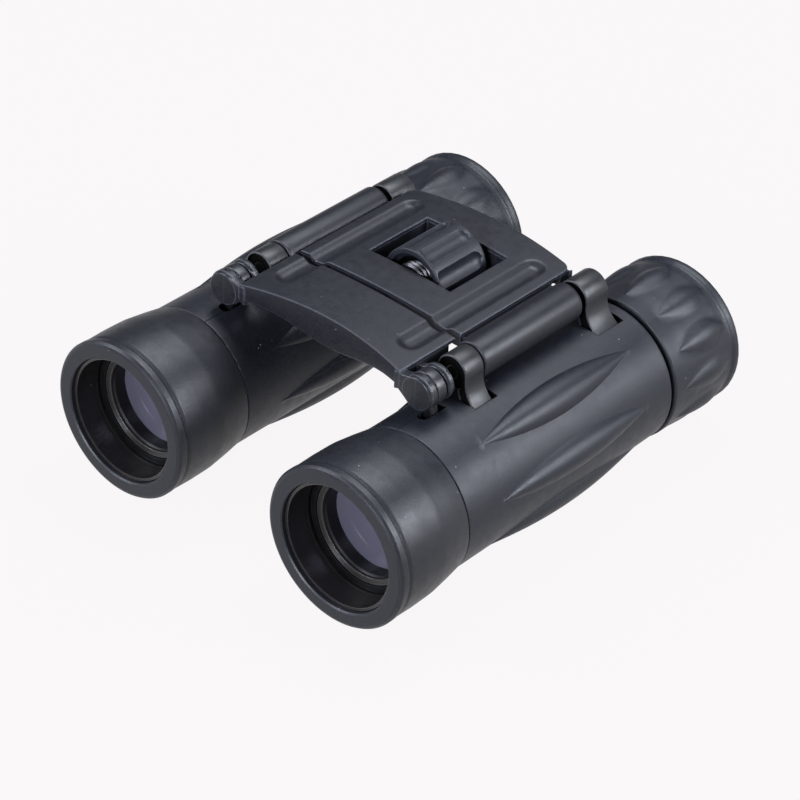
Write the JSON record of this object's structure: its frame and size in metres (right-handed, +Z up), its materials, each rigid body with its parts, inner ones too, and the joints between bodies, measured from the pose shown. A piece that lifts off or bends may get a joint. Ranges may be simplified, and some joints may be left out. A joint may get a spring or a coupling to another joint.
{
  "type": "binoculars",
  "caption": "Folding pocket binoculars with two straight armoured barrels, double hinges, a ribbed centre focus wheel, flared objective bells and leaf-embossed eyecups.",
  "frame": {"origin": "middle of the footprint, on the surface that the two barrels lie on", "axes": "+Y from the objectives to the eyecups, +Z up towards the bridge, user's left barrel at +X"},
  "size_m": [0.0994, 0.1136, 0.0499],
  "materials": {
    "armour_rubber": "satin, fine grain",
    "bell_coat": "smooth satin soft coating",
    "bridge_paint": "satin charcoal paint on cast light alloy",
    "strap_alloy": "grey anodised, satin",
    "wheel_rubber": "satin",
    "dark_plastic": "matt",
    "inner_black": "matt black anodised",
    "steel": "turned",
    "screw_metal": "dark plated thread",
    "tube_alloy": "grey anodised",
    "coated_glass": "violet-grey anti-reflection coating",
    "prism_glass": "polished"
  },
  "bodies": {
    "bridge": {"main_bridge": "bridge_paint", "top_cover": "bridge_paint", "bottom_cover": "dark_plastic", "cover_screws": "steel", "focus_screw": "screw_metal"},
    "front_bridge": {"front_bridge": "bridge_paint", "push_rod": "steel", "rod_screw": "steel", "left_ear_pin": "steel", "right_ear_pin": "steel"},
    "focus_wheel": {"focus_wheel": "wheel_rubber", "wheel_nut": "screw_metal"},
    "left_barrel": {"left_armour": "armour_rubber", "left_barrel_tube": "tube_alloy", "left_objective_bell": "bell_coat", "left_front_strap": "strap_alloy", "left_rear_strap": "strap_alloy", "left_strap_screws": "steel", "left_hinge_pin": "steel", "left_prism_holder": "inner_black", "left_first_prism": "prism_glass", "left_roof_prism": "prism_glass", "left_ocular_tube": "tube_alloy", "left_field_lens": "coated_glass", "left_lens_spacer": "inner_black", "left_eye_lens": "coated_glass", "left_eye_ring": "inner_black", "left_eyecup": "armour_rubber"},
    "left_objective": {"left_objective_cell": "inner_black", "left_crown_lens": "coated_glass", "left_flint_lens": "coated_glass", "left_objective_ring": "tube_alloy"},
    "right_barrel": {"right_armour": "armour_rubber", "right_barrel_tube": "tube_alloy", "right_objective_bell": "bell_coat", "right_front_strap": "strap_alloy", "right_rear_strap": "strap_alloy", "right_strap_screws": "steel", "right_hinge_pin": "steel", "right_prism_holder": "inner_black", "right_first_prism": "prism_glass", "right_roof_prism": "prism_glass"},
    "right_objective": {"right_objective_cell": "inner_black", "right_crown_lens": "coated_glass", "right_flint_lens": "coated_glass", "right_objective_ring": "tube_alloy"},
    "diopter_ring": {"diopter_ring": "armour_rubber"},
    "right_ocular": {"right_ocular_tube": "tube_alloy", "right_field_lens": "coated_glass", "right_lens_spacer": "inner_black", "right_eye_lens": "coated_glass", "right_eye_ring": "inner_black", "right_eyecup": "armour_rubber"}
  },
  "joints": [
    {"name": "left_fold", "type": "hinge", "parent": "bridge", "child": "left_barrel", "pos_m": [0.0275, 0, 0.0411], "axis": [0, 1, 0], "range_deg": [-13, 31]},
    {"name": "right_fold", "type": "hinge", "parent": "bridge", "child": "right_barrel", "pos_m": [-0.0275, 0, 0.0411], "axis": [0, -1, 0], "range_deg": [-13, 31]},
    {"name": "front_bridge_slide", "type": "slide", "parent": "bridge", "child": "front_bridge", "axis": [0, 1, 0], "range_m": [-0.00073, 0.00143]},
    {"name": "wheel_turn", "type": "hinge", "parent": "front_bridge", "child": "focus_wheel", "pos_m": [0, 0, 0.0419], "axis": [0, 1, 0], "range_deg": [-110, 215]},
    {"name": "left_objective_slide", "type": "slide", "parent": "left_barrel", "child": "left_objective", "axis": [0, 1, 0], "range_m": [-0.00073, 0.00143]},
    {"name": "right_objective_slide", "type": "slide", "parent": "right_barrel", "child": "right_objective", "axis": [0, 1, 0], "range_m": [-0.00073, 0.00143]},
    {"name": "diopter_turn", "type": "hinge", "parent": "right_barrel", "child": "diopter_ring", "pos_m": [-0.0312, 0.0355, 0.0185], "axis": [0, 1, 0], "range_deg": [-54, 54]},
    {"name": "right_ocular_slide", "type": "slide", "parent": "right_barrel", "child": "right_ocular", "axis": [0, 1, 0], "range_m": [-0.000299, 0.000299]}
  ],
  "couplings": [
    {"joint": "wheel_turn", "follows": "front_bridge_slide", "rad_per_m": 2618},
    {"joint": "left_objective_slide", "follows": "front_bridge_slide", "ratio": 1},
    {"joint": "right_objective_slide", "follows": "front_bridge_slide", "ratio": 1},
    {"joint": "diopter_turn", "follows": "right_ocular_slide", "rad_per_m": 3141.6}
  ]
}
